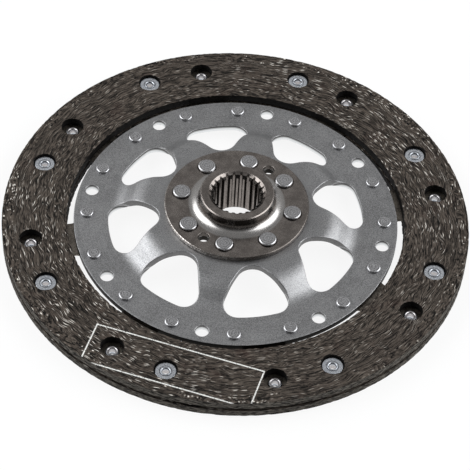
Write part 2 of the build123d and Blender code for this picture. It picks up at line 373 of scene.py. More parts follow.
def varied(middle, swing, pattern):  # middle + (pattern - 0.5) * swing
    return middle + (pattern - 0.5) * swing


friction = {
    "dark": srgb(8, 7, 6), "ground": srgb(84, 76, 69), "fibre": srgb(146, 137, 126),
    # The wall colour is painted shade for the bore and the holes.
    "glint": srgb(248, 243, 234), "red": srgb(66, 47, 41), "wall": srgb(20, 18, 17),
    "rim": srgb(112, 107, 100), "ink": srgb(240, 240, 236),
    # The yarn swings between the bore and the edge: radius = middle + reach * sin(turns * angle).
    "middle": 98.2, "reach": 20.5, "turns": 4.4, "turnLimit": 0.98,
    "lays": (1.2, -1.6, 2.4, -3.0, 4.5, 0),  # 0 goes straight round, 1 follows the swing, -1 its return
    "fibreSize": (3.6, 0.38), "strandSize": (13, 3.2),  # millimetres along the yarn and across it
    "wander": 7, "waver": 0.07,  # how far a yarn strays, in millimetres and radians
    "glintAngle": 52, "glintSpan": (40, 92),  # painted glints gather towards this angle and its opposite
    "fibreShare": 0.45, "redShare": 0.35, "glintCut": (0.84, 0.88), "rimDepth": (1.2, 0.6),
    "rough": 0.8, "glintGloss": 0.25, "specular": 0.15, "bump": (0.2, 0.7),
    "frame": {"turn": -5.5, "middle": (1.1, 97.7), "half": (40.8, 11.1), "line": 0.34, "depth": (0.2, 0.1)},
}


def yarnCells(s, lay, heading, climb, size, shift):
    # Cells that are long along a lay of yarn and narrow across it, in coordinates that close round the ring:
    # (ring * cos, ring * sin, climb / rise), where ring and rise lean with the yarn.
    f = friction
    along, across = size
    if lay:
        lean = np.sin(np.arctan(f["turns"] * f["reach"] / f["middle"] / abs(lay)))
        ring, rise = f["middle"] * lean / across, along * lean
    else:
        ring, rise = f["middle"] / along, across
    return s.join(heading.cosine() * ring, heading.sine() * ring, climb / rise + shift)


def printedFrame(s, x, y, z, place):  # a plain outlined panel in white ink, worn in places
    panel = friction["frame"]
    turn = np.radians(panel["turn"])
    across = (x * np.cos(turn) + y * np.sin(turn) - panel["middle"][0]).size() - panel["half"][0]
    down = (x * np.sin(turn) - y * np.cos(turn) - panel["middle"][1]).size() - panel["half"][1]
    line = across.atLeast(down).size().fall(panel["line"] * 0.6, panel["line"] * 1.3)
    worn = s.noise(place, 1.6, 3, 0.7).step(0.32, 0.5)
    deep, shallow = panel["depth"]
    return line * worn * z.step(facing["upperTop"] - deep, facing["upperTop"] - shallow)


def frictionMaterial(name, printed):
    s = newFinish(name)
    f = friction
    place = s.place()
    x, y, z = s.split(place)
    radius = distance(x, y)
    angle = y.angleFrom(x)
    drift = s.split(s.noise(place, 0.06, 2, output=1))
    climb = radius + z + (drift[0] - 0.5) * f["wander"]
    lean = (climb - f["middle"]) / f["reach"]
    swing = lean.atLeast(-f["turnLimit"]).atMost(f["turnLimit"]).arcSine() / f["turns"]
    # Painted highlights: glints of the fibres show in patches, most of all on two opposite sides of the ring,
    # where light catches them.
    glintTurn = np.radians(f["glintAngle"])
    glintSide = (x * np.cos(glintTurn) + y * np.sin(glintTurn)).size().step(*f["glintSpan"])
    # Each lay's strands cover the ones before in patches, and their fibres differ in shade.
    streaks, threads, glints = s.noise(place, 1.1, 2, 0.6), 0, 0
    for number, lay in enumerate(f["lays"]):
        heading = angle + swing * lay + (drift[1] - 0.5) * f["waver"]
        cell = yarnCells(s, lay, heading, climb, f["fibreSize"], number * 31.7)
        strand = yarnCells(s, lay, heading, climb, f["strandSize"], number * 7.3)
        onTop = s.noise(strand, 1.0, 1).step(0.47, 0.54)
        shade = s.split(s.cells(cell, "Color"))[0]
        thread = s.cells(cell, "Distance").fall(0.2, 0.46)
        streaks = streaks + (s.noise(cell, 1.1, 2, 0.7) * 0.4 + shade * 0.6 - streaks) * onTop
        threads = (thread * shade.step(0.45, 0.9) - threads) * onTop + threads
        glints = (thread * (shade + glintSide * 0.06).step(*f["glintCut"]) - glints) * onTop + glints
    # Painted highlights: the glints thin out in patches and away from the two bright sides.
    glints = glints * s.noise(place, 0.09, 3, 0.6).step(0.36, 0.54) * (0.3 + 0.7 * glintSide)
    grit = s.noise(place, 1.3, 2, 0.7)
    colour = s.blend((streaks * 0.7 + grit * 0.3).step(0.28, 0.7), f["dark"], f["ground"])
    colour = s.blend(s.noise(place, 0.07, 3, 0.6).step(0.55, 0.8) * f["redShare"], colour, f["red"])
    colour = s.blend(threads * f["fibreShare"], colour, f["fibre"])
    # Painted highlights: the near-white glints of the fibres.
    colour = s.blend(glints, colour, f["glint"])
    if printed:
        colour = s.blend(printedFrame(s, x, y, z, place), colour, f["ink"])
    # Upright walls are lighter and speckled at the outer edge; in the bore and the holes they are painted
    # dark, as shade.
    speckle = s.noise(s.join(x / 2.5, y / 2.5, z * 2), 1.0, 3, 0.6).step(0.36, 0.66)
    rim = s.blend(speckle, f["dark"], f["rim"])
    wall = s.blend(s.noise(place, 1.1, 3, 0.6).step(0.4, 0.65), f["dark"], f["wall"])
    deep, shallow = f["rimDepth"]
    side = s.blend(radius.step(facing["outer"] - deep, facing["outer"] - shallow), wall, rim)
    return s.surface({
        "Base Color": s.blend(s.level(0.45, 0.75), side, colour),
        "Roughness": f["rough"] - glints * f["glintGloss"],
        "Specular IOR Level": f["specular"],
        "Normal": s.bump(streaks + threads * 0.5, *f["bump"]),
    })


# Metals: colours, roughness as middle and swing, and bump as depth in millimetres and strength.
plateSteel = {
    # Painted light: the cut colour is the real bright shear with a painted floor reflection, and the two
    # darkest colours are painted shade.
    "dark": srgb(112, 112, 113), "light": srgb(190, 190, 191), "cut": srgb(238, 240, 241),
    "cutShade": srgb(84, 83, 82), "shadeDark": srgb(34, 31, 28),
    "grainShare": 2.7, "cloudShare": 0.5, "drawnShare": 0.25,
    "cutSpan": (0.4, 2.2),  # where the painted floor reflection on the cut brightens, below the ring's face
    "shadeReach": (31.5, 32),  # holes within this radius are painted dark, as shade
    "rough": (0.44, 0.3), "bump": (0.03, 0.5),
}
hubSteel = {
    # Painted light among these: the dark flank, rim, rivet and wall shades, and the bright rim and fillet
    # highlights.
    "dark": srgb(112, 106, 102), "light": srgb(154, 147, 142), "groove": srgb(66, 62, 58),
    "toothEndDark": srgb(38, 36, 34), "filletSheen": srgb(196, 195, 194), "rimGleam": srgb(196, 193, 189),
    "shadeDark": srgb(34, 31, 28),
    # Radii of bands: the boss's wall and the walls of the flange's holes, both painted dark as shade, and the
    # fillet's painted sheen.
    "bossBand": (15, 16, 20, 20.8), "holeBand": (23, 24, 31, 32), "filletSheenBand": (18.5, 19.5, 22.9, 23.9),
    "rimShadeSpan": (-5, 15),  # where painted shade takes over the rim, along X
    "rough": (0.26, 0.15), "grainRough": 0.2, "grooveRough": 0.25, "bump": (0.04, 0.5),
}
springSteel = {
    "dark": srgb(92, 86, 79), "light": srgb(164, 156, 146), "rough": (0.4, 0.3), "bump": (0.02, 0.4),
}
headedSteel = {
    "dark": srgb(128, 128, 130), "light": srgb(220, 220, 222), "rough": (0.3, 0.25), "bump": (0.06, 0.6),
}
platedSteel = {
    "dark": srgb(198, 204, 213), "light": srgb(242, 246, 252), "shade": srgb(92, 96, 103),
    "rolled": srgb(172, 161, 154), "rough": (0.28, 0.2), "bump": (0.06, 0.6),
}


def metalSurface(s, metal, tone, layers, rough, relief):
    # (share, colour) layers over a tone that goes from dark to light.
    colour = s.blend(tone, metal["dark"], metal["light"])
    for share, coat in layers:
        colour = s.blend(share, colour, coat)
    return s.surface({
        "Base Color": colour, "Metallic": 1.0, "Roughness": rough, "Normal": s.bump(relief, *metal["bump"]),
    })


def plateMaterial():
    s = newFinish("pressedSheetSteel")
    p = plateSteel
    place = s.place()
    x, y, z = s.split(place)
    radius = distance(x, y)
    grain = s.noise(place, 2.4, 3, 0.7)
    cloud = s.noise(place, 0.07, 3, 0.55)
    drawn = s.noise(s.join(radius * 1.6, z * 1.6, 0), 1.0, 2)  # marks that the press leaves round the bends
    tone = varied(0.5, p["grainShare"], grain) + varied(0, p["cloudShare"], cloud)
    tone = tone + varied(0, p["drawnShare"], drawn)
    # Sheared walls: painted shade above the ring; on it, painted shade at the top and, lower down, the real
    # bright shear with a painted reflection of the floor. The outermost wall and the holes near the hub are
    # painted dark, as shade.
    ringTop = carrier["ring"] + carrier["sheet"]
    below = ringTop - z
    wall = 1 - s.level(0.3, 0.7)
    outerWall = radius.step(carrier["outer"] - 0.35, carrier["outer"] - 0.2) * below.step(0.15, 0.35)
    layers = [
        (wall * z.step(ringTop + 0.5, ringTop + 1.5) * 0.6, p["cutShade"]),
        (wall * below.step(-0.1, 0.1), s.blend(below.step(*p["cutSpan"]), p["cutShade"], p["cut"])),
        ((outerWall + wall * radius.fall(*p["shadeReach"])).clamp(), p["shadeDark"]),
    ]
    return metalSurface(s, p, tone.clamp(), layers, varied(*p["rough"], grain), grain)


def rivetShadeRing(x, y, radius):
    # Painted shade: a dark ring round each hub rivet. The angle is folded onto one, to give the distance from
    # its axis.
    share = 2 * np.pi / carrier["count"]
    angle = y.angleFrom(x)
    folded = angle - (angle / share).round() * share
    away = distance(radius * folded.cosine() - carrier["hubCircle"], radius * folded.sine())
    head = solidRivet["hub"]["head"]
    return away.band(head - 0.3, head - 0.1, head + 0.15, head + 0.7)


def hubMaterial():
    s = newFinish("oiledTurnedSteel")
    p = hubSteel
    h = hub
    place = s.place()
    x, y, z = s.split(place)
    radius = distance(x, y)
    lines = s.noise(s.join(radius * 3.5, z * 3.5, 0), 1.0, 2)
    cloud = s.noise(place, 0.16, 4, 0.6)
    grain = s.noise(place, 1.8, 3, 0.7)
    # Spline: painted shade on the flanks of the teeth, and darker sloping ends of the teeth.
    endTop = h["top"] - h["endDepth"]
    endRadius = h["leadRadius"] - h["endDepth"]
    groove = radius.band(h["minor"] + 0.05, h["minor"] + 0.3, h["major"] - 0.4, h["major"] - 0.1)
    groove = groove * (endTop - z).step(0.5, 0.8)
    # The sloping ends of the teeth are darker.
    ends = radius.fall(endRadius - 0.15, endRadius) * (z - endTop + h["endFall"]).step(-0.12, 0.0)
    # Painted light on the flange's edge: a speckled painted highlight on one side and painted shade on the
    # other.
    rim = radius.step(h["flange"] - 0.45, h["flange"] - 0.3)
    rimShade = x.step(*p["rimShadeSpan"])
    rimHighlight = rim * (1 - rimShade) * s.noise(place, 1.2, 2).step(0.45, 0.6)
    # Painted shade round the rivet heads, on the boss's wall and in the flange's holes.
    flangeTop = h["flangeBottom"] + h["flangeThickness"]
    upright = 1 - s.level(0.3, 0.6)
    wall = z.band(flangeTop - 0.2, flangeTop, h["top"] - 0.7, h["top"] - 0.5)
    walls = radius.band(*p["bossBand"]) * wall * 0.8 + radius.band(*p["holeBand"]) * 0.65
    paintedShade = rivetShadeRing(x, y, radius) * z.fall(flangeTop + 0.5, flangeTop + 0.7) + upright * walls
    # The fillet's light band is a painted sheen.
    layers = [
        (groove, p["groove"]), (ends, p["toothEndDark"]), (rim * rimShade * 0.55, p["shadeDark"]), (rimHighlight, p["rimGleam"]),
        (paintedShade.clamp(), p["shadeDark"]), (radius.band(*p["filletSheenBand"]) * 0.6, p["filletSheen"]),
    ]
    tone = (cloud * 0.5 + grain * 0.5).step(0.32, 0.66)
    rough = varied(*p["rough"], cloud) + varied(0, p["grainRough"], grain) + groove * p["grooveRough"]
    return metalSurface(s, p, tone, layers, rough, lines * 0.6 + grain * 0.5)


def springMaterial():
    s = newFinish("hardenedSpringSteel")
    p = springSteel
    place = s.place()
    cloud = s.noise(place, 0.2, 4, 0.6)
    grain = s.noise(place, 1.3, 2, 0.6)
    tone = (cloud * 0.5 + grain * 0.5).step(0.36, 0.62)
    return metalSurface(s, p, tone, [], varied(*p["rough"], cloud), cloud)


def rivetRadius(s):  # how far a point of a rivet is from that rivet's own axis
    x, y, z = s.split(s.wire("Attribute", {"attribute_name": "fromAxis"}, {}, "Vector"))
    return distance(x, y)


def headedMaterial():
    s = newFinish("headedRivetSteel")
    p = headedSteel
    place = s.place()
    grain = s.noise(place, 1.8, 3, 0.7)
    cloud = s.noise(place, 0.25, 2)
    rings = (rivetRadius(s) * 5.6 + cloud * 9).sine() * 0.5 + 0.5  # faint marks of the heading tool
    tone = (grain * 0.78 + cloud * 0.1 + rings * 0.12).step(0.28, 0.7)
    return metalSurface(s, p, tone, [], varied(*p["rough"], grain), grain + rings * 0.15)


def platedMaterial():
    s = newFinish("platedRivetSteel")
    p = platedSteel
    t = tubular
    place = s.place()
    grain = s.noise(place, 1.5, 3, 0.7)
    radius = rivetRadius(s)
    collarShade = radius.band(t["collar"] - 0.05, t["collar"] + 0.05, t["collar"] + 0.25, t["collar"] + 0.7)
    edge = radius.step(t["head"] - 0.45, t["head"] - 0.1)
    # Painted shade: dark round the collar, at the head's edge and in the bore's mouth, so the bore looks
    # bright inside. The two kinds mirror each other in the middle plane.
    height = (s.split(place)[2] - middlePlane).size()
    mouth = radius.fall(t["bore"] + 0.02, t["bore"] + 0.2) * height.step(t["mouth"] - 1.7, t["mouth"] - 0.9)
    shade = (collarShade * 0.8 + edge * 0.1 + mouth * 0.9).clamp()
    layers = [(height.fall(1.5, 2.0) * 0.6, p["rolled"]), (shade, p["shade"])]
    return metalSurface(s, p, grain.step(0.32, 0.68), layers, varied(*p["rough"], grain), grain)


print("shader tools ready")


upperLow, upperHigh = nodeBox("upper_facing")
lowerLow, lowerHigh = nodeBox("lower_facing")
middlePlane = (upperHigh[2] + lowerLow[2]) / 2
facing = {
    "outer": upperHigh[0], "bore": 82.4, "thickness": upperHigh[2] - upperLow[2], "upperTop": upperHigh[2],
    "holeRadius": 5.5, "shankRadius": 2.6, "web": 1.5, "rivetCircle": 100.6, "count": 8,
    "crestAngle": 38.9, "troughAngle": 22.9,  # degrees, rivets of the upper and of the lower facing
    "rimRound": 0.35, "boreRound": 0.2, "backRound": 0.15, "holeRound": 0.18, "seatRounds": (0.25, 0.1, 0.1),
    "chip": 0.7, "chipFall": 0.6, "seed": 5,
    "rimColumns": 480, "holeColumns": 48,
}


def chipped(edge, centre, towards, depth, draw):
    # The moulding crumbles along its upper rims: each column of an edge moves into the material by
    # depth * draw ** 3, and less towards the foot of the rounded rim.
    away = edge[:, :, :2] - centre
    away /= np.linalg.norm(away, axis=2, keepdims=True)
    share = np.clip(1 - (facing["thickness"] - edge[:, :, 2:]) / facing["chipFall"], 0, 1)
    edge[:, :, :2] += away * share * towards * depth * draw.random(edge.shape[1])[None, :, None] ** 3
    return edge


def facingMesh(rivetAngle, clearanceAngle):
    # Height 0 is the back. Each edge is a (radius, height) profile from the friction face to the back.
    f = facing
    top, hole, shank, web = f["thickness"], f["holeRadius"], f["shankRadius"], f["web"]
    draw = np.random.default_rng(f["seed"])
    outer = wallProfile(f["outer"], -2, top, 0, (f["rimRound"], f["backRound"]), 4)
    bore = wallProfile(f["bore"], 2, top, 0, (f["boreRound"], f["backRound"]), 3)
    clear = wallProfile(hole, 1, top, 0, (f["holeRound"], f["holeRound"]), 3)
    seat = roundedPath([(hole + 1, top), (hole, top), (hole, web), (shank, web), (shank, 0), (shank + 1, 0)],
                       [f["holeRound"], *f["seatRounds"]], 3)[1:-1]
    edges = [chipped(turnedEdge(outer, f["rimColumns"]), (0, 0), -1, f["chip"] / 2, draw),
             chipped(turnedEdge(bore, f["rimColumns"], hole=True), (0, 0), 1, f["chip"], draw)]
    for turn in evenTurns(f["count"]):
        for profile, angle in ((seat, rivetAngle), (clear, clearanceAngle)):
            centre = atAngle(f["rivetCircle"], angle + turn)
            edge = turnedEdge(profile, f["holeColumns"], centre, True)
            edges.append(chipped(edge, centre, 1, f["chip"] / 2, draw))
    return plateMesh(edges, flat(top), flat(0))


points, faces = facingMesh(facing["crestAngle"], facing["troughAngle"])
addPiece("upperFacingMoulded", [(points + [0, 0, upperLow[2]], faces, (0, 0))],
         frictionMaterial("frictionPrinted", True), ["upper_facing"])

points, faces = turnedOver(*facingMesh(facing["troughAngle"], facing["crestAngle"]))
addPiece("lowerFacingMoulded", [(points + [0, 0, lowerHigh[2]], faces, (0, 0))],
         frictionMaterial("frictionPlain", False), ["lower_facing"])
print("facings made")


# Cushion springs: flat under the foot, waved under the facings.
cushion = {
    "count": 8, "firstAngle": 22.5, "sheet": 0.7, "edgeRound": 0.12,
    "neckHalf": 10.2, "corner": 2.6,
    "footInner": 66.8, "footOuter": 78.2, "footHalf": 14.8,  # half widths in degrees
    "paddleInner": 85.0, "paddleOuter": 111.0, "paddleHalf": 20.6,
    "wave": [(0, 0), (14.5, 0), (23.0, 1.1), (42.0, 1.1)], "bend": 30.0,
    "footHole": 2.5, "footCircle": 72.8, "footSpreads": (-10.65, 10.65),
    "rivetHole": 2.6, "rivetOffsets": (0.4, 16.4),
    # Extra points where the paddle bends: from, to and step, and their distance from the edges.
    "gridAcross": (12, 26.5, 0.7), "gridAlong": (81, 111, 3.0), "gridGap": 0.5,
}


def springOutline():
    # Half of the outline, then its mirror image. A round's centre is one radius from both lines it touches:
    # its reach is circle +- radius, and its angle is asin(radius / reach) from a radial line.
    c = cushion
    r = c["corner"]

    def arc(reach, angle, radius, start, end, count=9):  # about the point at a reach and an angle
        return around(atAngle(reach, angle), radius, np.radians(np.linspace(start, end, count)))

    def besideLine(reach, line):
        return line - np.degrees(np.arcsin(r / reach))

    def besideNeck(reach):
        return np.degrees(np.arcsin((c["neckHalf"] + r) / reach))

    foot, paddle = c["footHalf"], c["paddleHalf"]
    footIn, footOut, paddleIn, paddleOut = c["footInner"], c["footOuter"], c["paddleInner"], c["paddleOuter"]
    footStart, footEnd = besideLine(footIn + r, foot), besideLine(footOut - r, foot)
    neckStart, neckEnd = besideNeck(footOut + r), besideNeck(paddleIn - r)
    paddleStart, paddleEnd = besideLine(paddleIn + r, paddle), besideLine(paddleOut - r, paddle)
    half = np.vstack([
        arc(0, 0, footIn, 0, footStart, 20)[:-1],
        arc(footIn + r, footStart, r, footStart + 180, foot + 90),
        arc(footOut - r, footEnd, r, foot + 90, footEnd),
        arc(footOut + r, neckStart, r, neckStart + 180, 270),
        arc(paddleIn - r, neckEnd, r, 270, 360 + neckEnd),
        arc(0, 0, paddleIn, neckEnd, paddleStart, 14)[1:-1],
        arc(paddleIn + r, paddleStart, r, paddleStart + 180, paddle + 90),
        arc(paddleOut - r, paddleEnd, r, paddle + 90, paddleEnd),
        arc(0, 0, paddleOut, paddleEnd, 0, 50)[1:],
    ])
    return np.vstack([half[::-1], half[1:-1] * [1, -1]])


def springMesh():
    # The foot lies at height 0, and beyond the neck the height follows a wave across the spring: wave(|y|).
    c = cushion
    wave = roundedPath(c["wave"], [c["bend"]] * 2, 8)

    def bottom(place):
        lift = np.interp(np.abs(place[:, 1]), wave[:, 0], wave[:, 1])
        return np.where(place[:, 0] > (c["footOuter"] + c["paddleInner"]) / 2, lift, 0)

    def top(place):
        return bottom(place) + c["sheet"]

    loops = [springOutline()]
    loops += [holeLoop(c["footHole"], c["footCircle"], spread) for spread in c["footSpreads"]]
    loops += [holeLoop(c["rivetHole"], facing["rivetCircle"], offset) for offset in c["rivetOffsets"]]
    across, along = np.meshgrid(np.arange(*c["gridAcross"]), np.arange(*c["gridAlong"]))
    inner = np.stack([along.ravel(), across.ravel()], 1)
    inner = clearOf(np.vstack([inner, inner * [1, -1]]), loops, c["gridGap"])
    edges = [sheetEdge(loop, top, bottom, c["edgeRound"], c["edgeRound"], 3) for loop in loops]
    return plateMesh(edges, top, bottom, inner)


springFinish = springMaterial()
springPoints, springFaces = springMesh()
for index, turn in enumerate(evenTurns(cushion["count"])):
    node = f"cushion_spring_{index + 1}"
    places = springPoints + [0, 0, nodeBox(node)[0][2]]
    places[:, :2] = turned(places[:, :2], cushion["firstAngle"] + turn)
    mesh = (places, springFaces, (0, 0))
    addPiece(f"cushionSpring{index + 1}", [mesh], springFinish, [node])
print("cushion springs made")


# Rivets: tubular ones through the facings, solid ones through the springs' feet and the hub.
tubular = {
    "head": 5.0, "headHeight": 1.0, "collar": 2.6, "collarHeight": 0.2, "bore": 1.75, "shank": 2.5,
    "grip": 2.2, "tail": 3.4, "tailHeight": 1.5, "seam": 0.05, "columns": 48,
    "rounds": (0.4, 0.12, 0.06, 0.3, 0.2, 0.15, 0.1, 0.3, 0.8, 0.8),  # from the mouth to the rolled tail
    "mouth": nodeBox("upper_facing_rivets")[1][2] - middlePlane,  # collar top over the middle
}
solidRivet = {
    "spring": {"head": 3.4, "headHeight": 1.2, "grip": 3.9, "closed": 3.2, "closedHeight": 1.0, "shank": 2.4,
               "circle": cushion["footCircle"]},
    "hub": {"head": 4.3, "headHeight": 1.3, "grip": 5.7, "closed": 3.9, "closedHeight": 1.2, "shank": 3.0,
            "circle": 27.5, "count": 8},
    "rounds": (0.75, 0.3, 0.1, 0.1, 0.05, 0.4),  # from the head's edge down to the closed end's
    "columns": 48,
}


def rivetGroup(name, node, mesh, base, circle, angles, material):
    # One rivet's points and faces, set at each angle of a circle: point + (centre, base).
    points, faces = mesh
    meshes = []
    for angle in angles:
        centre = atAngle(circle, angle)
        meshes.append((points + [*centre, base], faces, centre))
    addPiece(name, meshes, material, [node])


def tubularProfile():  # round the section from the mouth: collar, head, shank, rolled tail, bore
    t = tubular
    rise, end = t["headHeight"] + t["collarHeight"], -t["grip"] - t["tailHeight"]
    return roundedPath([
        (t["bore"], 0), (t["bore"], rise), (t["collar"], rise), (t["collar"], t["headHeight"]),
        (t["head"], t["headHeight"]), (t["head"], 0), (t["shank"], 0), (t["shank"], -t["grip"]),
        (t["tail"], -t["grip"]), (t["tail"], end), (t["bore"], end), (t["bore"], -t["seam"]),
    ], t["rounds"], 5)


def tubularGroup(name, node, firstAngle, upright):
    low, high = nodeBox(node)
    rise = tubular["headHeight"] + tubular["collarHeight"]
    mesh = tubeMesh(tubularProfile(), tubular["columns"])
    base = high[2] - rise if upright else low[2] + rise
    rivetGroup(name, node, mesh if upright else turnedOver(*mesh), base, facing["rivetCircle"],
               firstAngle + evenTurns(facing["count"]), platedFinish)


platedFinish = platedMaterial()
tubularGroup("upperFacingRivets", "upper_facing_rivets", facing["crestAngle"], True)
tubularGroup("lowerFacingRivets", "lower_facing_rivets", facing["troughAngle"], False)


def solidProfile(kind):  # from the top pole over the head, down the shank and over the closed end
    r = solidRivet[kind]
    top, end = r["headHeight"], -r["grip"] - r["closedHeight"]
    return roundedPath([
        (0, top), (r["head"], top), (r["head"], 0), (r["shank"], 0), (r["shank"], -r["grip"]),
        (r["closed"], -r["grip"]), (r["closed"], end), (0, end),
    ], solidRivet["rounds"], 7)


def solidGroup(name, node, kind, angles):
    r = solidRivet[kind]
    mesh = latheMesh(solidProfile(kind), solidRivet["columns"])
    base = nodeBox(node)[1][2] - r["headHeight"]
    rivetGroup(name, node, mesh, base, r["circle"], angles, headedFinish)


headedFinish = headedMaterial()
footAngles = [cushion["firstAngle"] + turn + spread for turn in evenTurns(cushion["count"])
              for spread in cushion["footSpreads"]]
solidGroup("springRivets", "spring_rivets", "spring", footAngles)
solidGroup("hubRivets", "hub_rivets", "hub", evenTurns(solidRivet["hub"]["count"]))
print("rivets made")


# Carrier plate: pressed from sheet, with a raised seat, eight windows and a row of holes.
carrier = {
    "outer": 79.2, "bore": 17.3, "sheet": 3.2, "count": 8,
    "seat": 13.0, "ring": 4.6,  # heights of the underside
    "topCorners": (47.9, 57.91), "bottomCorners": (46.74, 56.75), "tightBend": 11.0, "wideBend": 14.2,
    "beyond": 90,  # the section's path ends outside the plate
    "windowOuter": 62.4, "windowApex": 33.5, "windowSide": 39.4, "apexRound": 7.9, "baseRound": 6.9,
    "ringHole": 3.2, "rivetHole": 2.5, "hubRivetHole": 3.1, "hubCircle": solidRivet["hub"]["circle"],
    "flangeHole": 2.8, "flangeHoleAngles": (67.5, 247.5),
    # Rounds of the cut edges, top and bottom. Punched holes open out where the sheet breaks.
    "outerRound": (0.3, 0.21), "windowRound": (0.4, 0.28), "fitRound": (0.1, 0.07),
    "ringHoleRound": (0.35, 0.45), "flangeHoleRound": (0.16, 0.45),
    # Extra points on circles: radii, step in degrees, and their distance from the edges.
    "gridRadii": (51, 52, 53, 54, 36, 40, 43, 61, 63.5, 66, 76.5), "gridStep": 1.5, "gridGap": 0.55,
}


def windowLoop():
    # Two straight sides through the apex and an arc about the axis. The apex round touches both sides, and a
    # base round's centre is one radius from a side and from the arc.
    c = carrier
    side = np.radians(c["windowSide"])
    along = np.array([np.cos(side), np.sin(side)])
    normal = np.array([np.sin(side), -np.cos(side)])
    apexCentre = np.array([c["windowApex"] + c["apexRound"] / np.sin(side), 0])
    touch = np.array([c["windowApex"], 0]) + along * c["apexRound"] / np.tan(side)
    foot = normal * (c["windowApex"] * np.sin(side) + c["baseRound"])
    reach = c["windowOuter"] - c["baseRound"]
    baseCentre = foot + along * np.sqrt(reach ** 2 - foot @ foot)
    sideEnd = baseCentre - normal * c["baseRound"]
    baseAngle = np.arctan2(baseCentre[1], baseCentre[0])
    half = np.vstack([
        around(apexCentre, c["apexRound"], np.linspace(np.pi, side + np.pi / 2, 14)),
        touch + (sideEnd - touch) * np.linspace(0, 1, 24)[1:-1, None],
        around(baseCentre, c["baseRound"], np.linspace(side + np.pi / 2, baseAngle, 18)),
        around((0, 0), c["windowOuter"], np.linspace(baseAngle, 0, 24))[1:],
    ])
    return np.vstack([half, (half * [1, -1])[-2:0:-1]])


def carrierPath(corners, seatHeight, ringHeight, bends):  # a face's section: level seat, slope, level ring
    inner, outer = corners
    path = [(0, seatHeight), (inner, seatHeight), (outer, ringHeight), (carrier["beyond"], ringHeight)]
    return roundedPath(path, bends, 8)


def carrierMesh():
    # Both faces are dished about the axis, height = section(radius), and all cut edges are rounded.
    c = carrier
    tight, wide = c["tightBend"], c["wideBend"]
    topPath = carrierPath(c["topCorners"], c["seat"] + c["sheet"], c["ring"] + c["sheet"], (wide, tight))
    lowPath = carrierPath(c["bottomCorners"], c["seat"], c["ring"], (tight, wide))
    top, bottom = dished(topPath), dished(lowPath)
    cuts = [(circleLoop(c["outer"], 360), "outerRound"), (circleLoop(c["bore"], 120, hole=True), "fitRound")]
    for turn in evenTurns(c["count"]):
        middle = turn + cushion["firstAngle"]
        cuts.append((holeLoop(c["ringHole"], cushion["footCircle"], turn, 36), "ringHoleRound"))
        cuts.append((holeLoop(c["hubRivetHole"], c["hubCircle"], turn), "fitRound"))
        for spread in cushion["footSpreads"]:
            cuts.append((holeLoop(c["rivetHole"], cushion["footCircle"], middle + spread), "fitRound"))
        cuts.append((turned(windowLoop(), middle), "windowRound"))
    for angle in c["flangeHoleAngles"]:
        cuts.append((holeLoop(c["flangeHole"], c["hubCircle"], angle), "flangeHoleRound"))
    edges = [sheetEdge(loop, top, bottom, *c[kind]) for loop, kind in cuts]
    bends = np.concatenate([topPath[1:-1, 0], lowPath[1:-1, 0]])
    radii = np.concatenate([np.unique(np.round(bends, 1)), c["gridRadii"]])
    angles = np.radians(np.arange(0, 360, c["gridStep"]))
    inner = np.stack([np.outer(radii, np.cos(angles)).ravel(), np.outer(radii, np.sin(angles)).ravel()], 1)
    return plateMesh(edges, top, bottom, clearOf(inner, [loop for loop, kind in cuts], c["gridGap"]))


addPiece("carrierPressed", [(*carrierMesh(), (0, 0))], plateMaterial(), ["carrier_plate"])
print("carrier made")


# Hub: a turned boss and tail on a round flange, with a splined bore.
hubLow, hubHigh = nodeBox("hub")
hub = {
    "flange": 35.2, "flangeThickness": 2.5, "flangeBottom": 16.2, "flangeChamfer": 0.4, "rimRound": 0.15,
    "boss": 17.9, "bossFillet": 5.2, "edgeChamfer": 0.5, "tail": 17.2, "tailFillet": 0.3,
    "teeth": 23, "minor": 11.2, "major": 12.9, "flankAngle": 15.0, "spaceShare": 0.5,
    "leadRadius": 13.9, "leadChamfer": 0.4, "endDepth": 1.2, "endFall": 1.1, "exitDepth": 1.95,
    "toothRound": 0.12, "rootRound": 0.2, "turnedRound": 0.12, "leadRound": 0.06, "holeRounds": (0.25, 0.1),
    "exitLip": 0.4, "shoulderSoft": 0.05, "endSoft": 0.03, "endRun": 0.15,  # how a tooth end eases in
    "clearance": 0.3, "levels": 9,  # the bore's rows: their distance from the tooth ends, how many
    "top": hubHigh[2], "base": hubLow[2],
}


def splineColumns():
    # Angle and radius round the bore: groove floor, straight flank, tooth tip, then mirrored and repeated.
    h = hub
    middle = (h["minor"] + h["major"]) / 2
    halfGroove = np.pi * middle / h["teeth"] * h["spaceShare"]
    slope = np.tan(np.radians(h["flankAngle"]))
    pitch = 2 * np.pi / h["teeth"]
    tipHalf = halfGroove + (middle - h["minor"]) * slope
    tip = np.array([np.sqrt(h["minor"] ** 2 - tipHalf ** 2), tipHalf])
    middleTip = h["minor"] * np.array([np.cos(pitch / 2), np.sin(pitch / 2)])
    root = (h["major"], halfGroove - (h["major"] - middle) * slope)
    path = roundedPath([(h["major"], 0), root, tip, middleTip], [h["rootRound"], h["toothRound"]], 4)
    path = np.vstack([path[:1], path[:1] * [1, 0] + (path[1:2] - path[:1]) * 0.5, path[1:]])
    angle, radius = np.arctan2(path[:, 1], path[:, 0]), np.hypot(path[:, 0], path[:, 1])
    angle = np.concatenate([angle, pitch - angle[-2:0:-1]])
    radius = np.concatenate([radius, radius[-2:0:-1]])
    turns = np.arange(h["teeth"])[:, None] * pitch
    return (turns + angle).ravel(), np.tile(radius, h["teeth"])


